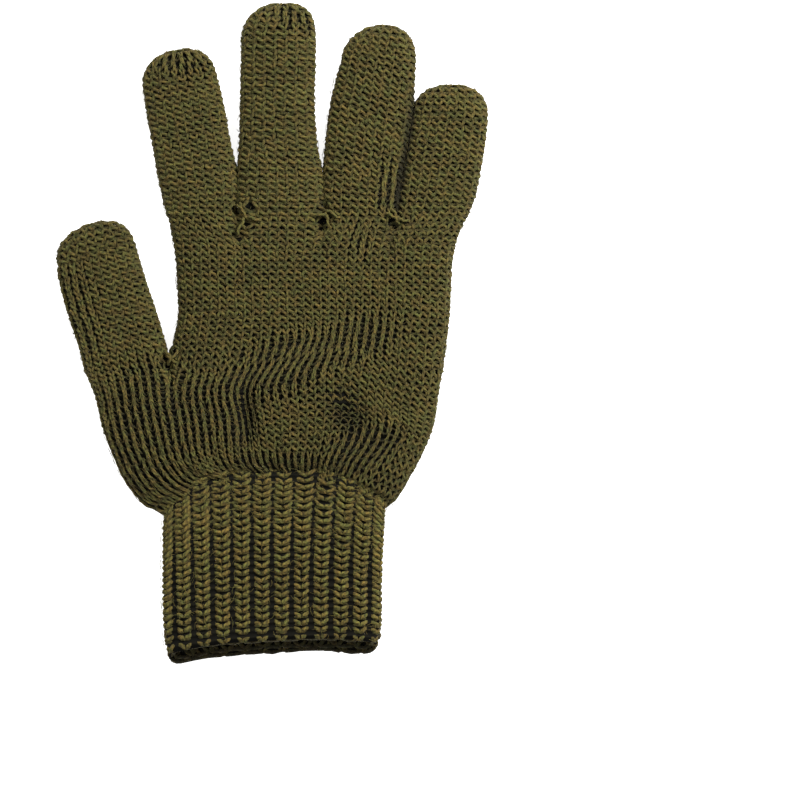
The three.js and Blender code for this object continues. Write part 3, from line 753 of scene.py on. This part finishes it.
TWISTS_PER_MM = 0.42
PLIES = 2.0
FIBRE_SCALE = 1300.0  # waves of the fibres' tone to the metre, and of the patches where the dye differs
PATCH_SCALE = 420.0
FIBRE_TONE = 1.1  # how much the fibres and the plies differ in tone, darker where their bump is low: partly painted shade
PLY_TONE = 0.6
REDDER = (1.20, 0.94, 0.86)  # the dye's two extremes
GREENER = (0.90, 1.04, 0.98)
PLY_RELIEF = 0.0005
BACK_ROWS = 0.314  # the wave texture's scale that gives one band a row
BACK_RELIEF = 0.0008
plain_wool = wool("plain_knit_wool", (0.103, 0.090, 0.0198), (0.030, 0.027, 0.0075))
# painted shade: the back's near-black colours stand for the shade between and behind the stitches
plain_shaded_back = shaded_wool_back("plain_knit_back", (0.004, 0.0036, 0.0022), (0.0015, 0.0014, 0.0010))

upper_surface = tube_surface(UPPER_HAND, YARN_DEPTH)
lower_surface = tube_surface(LOWER_HAND, YARN_DEPTH)
upper_knit = plain_knit(upper_surface, HAND_STEPS, 11)
lower_knit = plain_knit(lower_surface, HAND_STEPS, 12, puckers=PUCKERS)
build_piece("hand_upper_knit", upper_knit, plain_wool, "hand")
build_piece("hand_lower_knit", lower_knit, plain_wool, "hand")
build_piece("hand_upper_back", [inner_face(UPPER_HAND)], plain_shaded_back, "hand")
build_piece("hand_lower_back", [inner_face(LOWER_HAND)], plain_shaded_back, "hand")
hand_fibres = []
for seed, surface in ((13, upper_surface), (14, lower_surface)):
    count = int(FIBRES_PER_STITCH * 2 * surface["wales"] * surface["courses"])
    hand_fibres.append(loose_fibres(surface, count, seed))
build_piece("hand_fibres", hand_fibres, plain_wool, "hand")

# Fingers and thumb
# Each is a narrower tube of the same knitting, closed at its tip by dropping stitches at both sides.
# A tip is its length past the last row, how far its apex lies to the right, and how square it is.
DIGIT_COLUMNS = ("lx", "ly", "rx", "ry", "h")
DIGITS = (
    # name, wales, reach, tip, and the slant of its courses, in courses
    ("index_finger", 10, 14.0, (13.9, 1.0, 2.4), 0.0),
    ("middle_finger", 10, 14.0, (15.5, 1.8, 2.6), 0.0),
    ("ring_finger", 10, 14.0, (15.4, 2.0, 2.2), 0.7),
    ("little_finger", 10, 14.0, (11.9, 0.8, 2.3), -0.4),
    ("thumb", 11, 16.0, (12.6, 1.8, 2.3), 0.0),
)
DIGIT_SECTIONS = {
    "index_finger": (
        (-39.0, 43.7, -12.7, 43.7, 12.2),
        (-42.0, 56.2, -12.7, 58.4, 11.8),
        (-44.2, 68.5, -15.7, 72.9, 11.5),
        (-46.4, 80.7, -17.9, 85.1, 11.5),
        (-47.9, 89.9, -20.1, 94.3, 11.3),
    ),
    "middle_finger": (
        (-13.4, 43.7, 19.8, 43.7, 12.4),
        (-13.4, 57.4, 19.1, 57.4, 12.0),
        (-12.4, 72.2, 16.5, 72.2, 11.6),
        (-12.0, 87.0, 15.7, 87.0, 11.5),
        (-11.7, 101.0, 16.1, 101.0, 11.5),
        (-11.7, 107.7, 16.1, 107.7, 11.3),
    ),
    "ring_finger": (
        (19.0, 43.7, 46.5, 43.7, 12.2),
        (18.4, 57.4, 48.1, 55.9, 11.9),
        (19.6, 72.2, 50.1, 68.8, 11.6),
        (21.3, 85.5, 52.0, 81.4, 11.5),
        (23.9, 96.6, 52.7, 92.9, 11.4),
        (25.3, 101.0, 53.0, 98.8, 11.2),
    ),
    "little_finger": (
        (45.2, 43.7, 72.3, 43.7, 11.8),
        (46.9, 55.5, 75.7, 52.9, 11.3),
        (49.1, 68.4, 77.9, 65.5, 11.0),
        (50.5, 77.7, 79.3, 74.4, 10.9),
        (51.6, 81.5, 79.7, 80.9, 10.8),
    ),
    "thumb": (
        (-69.4, -13.7, -37.0, -12.5, 14.2),
        (-71.6, -4.8, -40.1, -0.4, 13.0),
        (-74.6, 4.1, -43.5, 10.7, 12.2),
        (-77.5, 13.7, -47.2, 21.8, 11.9),
        (-79.3, 21.5, -49.4, 29.2, 11.8),
        (-79.5, 25.5, -50.5, 32.9, 11.6),
    ),
}
TIP_HEIGHT_POWER = 3.2  # how square a tip is from the side
TIP_END = 0.999  # share of the tip at which the knitting stops
TIP_RUN = -0.05  # its yarn stops this part of a course before that
DIGIT_SWELL = 0.7  # how far the sides bulge past the solid's, so that neighbouring fingers touch
TIP_SWELL = 0.5
DIGIT_STEPS = 10


def digit_rows(tube, place):
    """The table's rows up to the last, and past it the rounded tip: the row shrinks as a superellipse in
    width and in height while its middle moves on towards the apex."""
    last = len(tube["rows"]) - 1
    row = read_rows(tube, np.minimum(place, last))
    length, shift, power = tube["tip"]
    share = np.clip(place - last, 0, 1)[:, None]
    half_x = (row["rx"] - row["lx"]) / 2
    half_y = (row["ry"] - row["ly"]) / 2
    half = np.hypot(half_x, half_y)
    width = (1 - share**power) ** (1 / power)
    middle_x = (row["rx"] + row["lx"]) / 2 + (-half_y * length * share + half_x * shift * share**2) / half
    middle_y = (row["ry"] + row["ly"]) / 2 + (half_x * length * share + half_y * shift * share**2) / half
    row["lx"] = middle_x - half_x * width
    row["rx"] = middle_x + half_x * width
    row["ly"] = middle_y - half_y * width
    row["ry"] = middle_y + half_y * width
    row["whole_half"] = half
    row["tip_share"] = share
    row["towards"] = (-half_y / half, half_x / half)
    row["squeeze"] = (1 - share**TIP_HEIGHT_POWER) ** (1 / TIP_HEIGHT_POWER)
    return row


def digit_points(tube, row, share, upper, inset):
    """Points of a digit's sections, as section_points() gives them without arch, split and gathers. On the
    tip the inset shrinks width, length and height in proportion."""
    narrow = np.maximum(1 - (inset - DIGIT_SWELL) / row["whole_half"], LEAST_SHARE)
    half_x = (row["rx"] - row["lx"]) / 2 * narrow
    half_y = (row["ry"] - row["ly"]) / 2 * narrow
    half = np.hypot(half_x, half_y)
    keep = 2 * share - 1
    back = (inset - TIP_SWELL) * row["tip_share"]
    x = (row["lx"] + row["rx"]) / 2 + half_x * keep - row["towards"][0] * back
    y = (row["ly"] + row["ry"]) / 2 + half_y * keep - row["towards"][1] * back
    side = (1 - np.abs(keep)) * half
    edge = row["h"] * EDGE_LEVEL
    full = row["h"] - edge
    lift = (full - inset) * rounding(side, np.minimum(tube["reach"] - inset, half)) * row["squeeze"]
    drop = (edge - inset) * rounding(side, np.minimum(UNDER_REACH - inset, half)) * np.sqrt(row["squeeze"])
    z = np.where(upper, edge + lift - dented(0, x, y) * np.minimum(1, lift / full), edge - drop)
    return np.stack(np.broadcast_arrays(x, y, z), axis=-1)


digit_options = {"section": digit_points, "rows": digit_rows, "overrun": TIP_RUN}
for order, (name, wales, reach, tip, tilt) in enumerate(DIGITS):
    tube = {"wales": wales, "reach": reach, "tip": tip, "columns": DIGIT_COLUMNS}
    tube["rows"] = DIGIT_SECTIONS[name]
    tube["span"] = (0, len(tube["rows"]) - 1 + TIP_END)
    places = np.linspace(*tube["span"], FINE_STEPS)
    run = run_along(tube, places, YARN_DEPTH, digit_points, digit_rows)
    tube["courses"] = int(round(run[-1] / STITCH_HEIGHT))
    surface = tube_surface(tube, YARN_DEPTH, **digit_options)
    # A stitch is dropped at each side wherever a face has narrowed by two stitches' width.
    half_round = surface["grid"][:, :, 6].mean(axis=1)[1::ROWS_PER_COURSE] * wales
    dropped = np.round((wales - half_round / (half_round[0] / wales)) / 2).astype(int)
    stitches = np.clip(wales - 2 * np.maximum(dropped, 0), 2, wales)
    yarn = plain_knit(surface, DIGIT_STEPS, 20 + order, stitches, tilt=tilt)
    build_piece(name + "_knit", yarn, plain_wool, name)
    build_piece(name + "_back", [inner_face(tube, **digit_options)], plain_shaded_back, name)
    fibres = loose_fibres(surface, int(FIBRES_PER_STITCH * 2 * stitches.sum()), 40 + order)
    build_piece(name + "_fibres", [fibres], plain_wool, name)

# Darned forks
# Where two fingers part, and at the thumb, the yarn's ends are sewn in: a few short strands cross the fork
# and pull the stitches apart. Each is one loop of the same yarn, with its upper run in sight.
STRANDS = (
    # from x, y to x, y, height
    (-13.2, 47.8, -7.4, 42.0, 10.6),
    (-10.6, 43.6, -12.4, 36.6, 11.6),
    (-9.4, 43.1, -4.2, 42.8, 11.8),
    (13.9, 43.2, 20.6, 45.4, 10.8),
    (19.6, 45.8, 25.6, 43.4, 11.0),
    (19.4, 44.6, 21.8, 39.4, 11.4),
    (41.2, 44.6, 46.6, 43.6, 10.6),
    (46.0, 42.0, 50.8, 42.6, 11.2),
    (44.0, 46.4, 47.6, 40.6, 10.6),
    (-39.8, -6.4, -34.6, -10.2, 11.4),
    (-38.2, -11.0, -34.8, -5.4, 11.8),
)
STRAND_STEPS = 28
STRAND_RADIUS = 0.85 * YARN_RADIUS
STRAND_BOW = 0.5  # how far it bows to both sides in an S
STRAND_RISE = 0.7  # how far its upper run stands over its lower one, halved
STRAND_DIVE = 2.2  # how deep its two ends go into the fabric
# painted light and shade: a strand's shade follows this plus sin t, lit on its upper run and dark on its
# lower one
STRAND_LIGHT = 0.4


def darned_strand(x0, y0, x1, y1, height, rng):
    """A loop of yarn from one point to another and back below, t from 0 to 2 pi: along by half of 1 - cos t,
    aside by bow times the sine of a turn on that way, up by rise sin t, down by dive cos t to the 6th."""
    t = 2 * np.pi * np.arange(STRAND_STEPS) / STRAND_STEPS
    along = 0.5 - 0.5 * np.cos(t)
    bow = STRAND_BOW * np.sin(2 * np.pi * along)
    length = np.hypot(x1 - x0, y1 - y0)
    x = x0 + (x1 - x0) * along - (y1 - y0) / length * bow
    y = y0 + (y1 - y0) * along + (x1 - x0) / length * bow
    z = height + STRAND_RISE * np.sin(t) - STRAND_DIVE * np.cos(t) ** 6
    path = np.stack([x, y, z], axis=1)
    path += rng.normal(0, UNEVEN["path"], path.shape)
    upwards = np.tile([0.0, 0.0, 1.0], (STRAND_STEPS, 1))
    light = np.clip(STRAND_LIGHT + np.sin(t), 0, 1)
    return yarn_ring(path, upwards, np.full(STRAND_STEPS, STRAND_RADIUS), light, np.ones(STRAND_STEPS))


rng = np.random.default_rng(51)
strands = [darned_strand(*row, rng) for row in STRANDS]
build_piece("fork_darns", strands, plain_wool, "hand")

# Cuff
# A ribbed tube of the same wool, knitted tighter round: every rib is one column of broad V stitches that
# stands up between two sunk valleys. It is worked on from the hand and ends in an open mouth.
CUFF = {
    "wales": 12,  # ribs across one face
    "courses": 23,
    "reach": 15.0,
    "swell": 1.2,
    "bounds": (0.0, 1.0),
    "columns": SECTION_COLUMNS,
    "rows": (
        (-38.6, -119.0, 38.8, -114.6, 3.9, 0, 0, 7.4, 15.4),
        (-39.9, -113.8, 40.2, -110.4, 2.6, 0, 0, 4.6, 14.8),
        (-40.5, -104.0, 40.6, -101.5, 3.0, 0, 0, 1.5, 14.3),
        (-40.7, -91.5, 40.8, -89.5, 5.6, 0, 0, 0.0, 14.0),
        (-40.7, -77.5, 41.4, -75.0, 10.5, 0, 0, 0.0, 14.0),
        (-40.5, -66.3, 42.2, -64.6, 15.2, 0, 0, 0.0, 14.0),
    ),
}
RIB_SAMPLES = 12
RIB_YARN_RADIUS = 0.76
RIB_DEPTH = 1.5  # from the cuff's face to the middle of its ribs' yarn
RIB_HOLLOW = 1.7  # how far the yarn sinks into the valleys
RIB_LEG_RISE = 0.5
RIB_FOOT = 0.7  # how much further a stitch's foot stands out, as a share of that
RIB_BOW = 0.18  # how round a rib's stitch is at its foot, in courses
RIB_SWING = 0.30
RIB_PINCH = 0.055  # how far a rib's stitch is drawn in from the valleys, in ribs
RIB_REACH = 0.62
RIB_UNEVEN = {"reach": 0.06, "rise": 0.08, "swing": 0.05}  # spread from stitch to stitch, as a share
RIB_STEPS = 14
VALLEY_SHADE = 0.7
# Towards the hand
SHALLOW_COURSES = 14.0  # courses over which the valleys grow shallow towards the hand
SHALLOW_SHARE = 0.85
SHALLOW_LIGHT = 0.5  # how much of the deep yarn's shade is lifted where the valleys are shallow
RIB_SPREAD = 0.12  # how much wider the stitches swing there
RIB_END_SINK = 1.0  # how far the last courses dip under the hand's gathers
RIB_END_SHADE = 0.3
RIB_RUN_ON = 0.9  # how far the ribs' ends differ in height, in courses
# Towards the mouth
FIRST_COURSE = 0.25  # room for the edge's loops, in courses
EDGE_CURL = 0.7  # how far the mouth's edge turns in
CURL_COURSES = 2.6
EDGE_SHADE = 0.5
MOUTH_SHADE = 0.5  # painted shade on the yarn that lines the mouth
MOUTH_DEPTH = 3.3  # from the cuff's face to that yarn
MOUTH_COURSES = 4
MOUTH_STEPS = 12
BACK_START = 0.15  # share of a row by which the back starts inside the mouth, so that the edge is all yarn
CUFF_FIBRES = 700


def rib_knit(surface, rows, facing, hollow, steps, seed):
    """Courses of ribbing: one broad stitch a rib, made as a plain one with a wide swing and a foot bowed by
    cos 2t, whose feet stand proud by cos t as well, and whose yarn sinks into the valley on either side by
    the square of half of 1 + cos of the way across and darkens there with painted shade. Near the hand the
    valleys grow shallow and their painted shade lighter, the stitches swing wider, and the ribs' ends differ
    in height by a 4th power, sink by an 8th and darken by a square. The mouth's edge curls in and darkens
    with painted shade. The yarn faces outwards where facing is 1, and into the mouth, darkened with painted
    shade, where it is -1."""
    rng = np.random.default_rng(seed)
    rings = []
    courses = surface["courses"]
    count = 2 * surface["wales"]
    run_on = rng.uniform(-1, 1, count)
    for course in range(rows):
        t = np.tile(2 * np.pi * np.arange(steps) / steps, count)
        stitch = np.repeat(np.arange(count), steps)
        reach = RIB_REACH * (1 + rng.normal(0, RIB_UNEVEN["reach"], count)[stitch])
        rise = RIB_LEG_RISE * (1 + rng.normal(0, RIB_UNEVEN["rise"], count)[stitch])
        swing = RIB_SWING * (1 + rng.normal(0, RIB_UNEVEN["swing"], count)[stitch])
        along = course + 0.5 - reach * np.cos(t) + RIB_BOW * np.cos(2 * t)
        up = FIRST_COURSE + along * (courses - FIRST_COURSE) / courses
        near_hand = np.clip((up - courses) / SHALLOW_COURSES + 1, 0, 1)
        up += RIB_RUN_ON * run_on[stitch] * near_hand**4
        shallow = SHALLOW_SHARE * near_hand
        swing = swing * (1 + RIB_SPREAD * near_hand)
        across = stitch + t / (2 * np.pi) + swing * np.sin(2 * t) + RIB_PINCH * np.sin(t)

        place, normal, _ = at(surface, across / count, up)
        valley = (1 - shallow) * (0.5 + 0.5 * np.cos(2 * np.pi * across)) ** 2
        near_edge = np.clip(1 - up / CURL_COURSES, 0, 1)
        flat = blend(SIDE_FLAT, 1, np.maximum(normal[:, 2], 0))
        sunk = flat * rise * (np.cos(2 * t) - RIB_FOOT * np.cos(t)) + RIB_END_SINK * near_hand**8
        sunk = sunk + hollow * valley + (facing > 0) * EDGE_CURL * near_edge
        path = place - facing * normal * sunk[:, None]
        path += rng.normal(0, UNEVEN["path"], path.shape)

        radius = RIB_YARN_RADIUS * (1 + rng.normal(0, UNEVEN["radius"], len(t)))
        height = (0.5 - 0.5 * np.cos(2 * t)) * (1 - VALLEY_SHADE * valley)
        height = height + SHALLOW_LIGHT * shallow * (1 - height)
        height = height * (1 - EDGE_SHADE * near_edge) * (1 - RIB_END_SHADE * near_hand**2)
        height = height * rng.uniform(*TONES, count)[stitch]
        if facing < 0:
            height = height * MOUTH_SHADE
        rings.append(yarn_ring(path, normal, radius, height, np.ones(len(path))))
    return rings


rib_wool = wool("ribbed_knit_wool", (0.174, 0.148, 0.032), (0.036, 0.032, 0.009))
# painted shade: the cuff's back is near black for the shade inside the ribs and the mouth
rib_shaded_back = shaded_wool_back("ribbed_knit_back", (0.006, 0.0055, 0.0035), (0.003, 0.0028, 0.0018))
cuff_surface = tube_surface(CUFF, RIB_DEPTH, samples=RIB_SAMPLES)
cuff_yarn = rib_knit(cuff_surface, CUFF["courses"] + 1, 1, RIB_HOLLOW, RIB_STEPS, 31)
build_piece("cuff_knit", cuff_yarn, rib_wool, "cuff")
mouth_surface = tube_surface(CUFF, MOUTH_DEPTH, samples=RIB_SAMPLES)
mouth_yarn = rib_knit(mouth_surface, MOUTH_COURSES, -1, 0.0, MOUTH_STEPS, 32)
build_piece("cuff_mouth_knit", mouth_yarn, rib_wool, "cuff")
# The back and the fibres count a rib as two stitches, one on its crest and one in its valley.
rib_stitches = 2 * CUFF["wales"]
back_tube = {**CUFF, "wales": rib_stitches, "span": (BACK_START, len(CUFF["rows"]) - 1)}
build_piece("cuff_back", [inner_face(back_tube)], rib_shaded_back, "cuff")
cuff_fibres = loose_fibres({**cuff_surface, "wales": rib_stitches}, CUFF_FIBRES, 33)
build_piece("cuff_fibres", [cuff_fibres], rib_wool, "cuff")
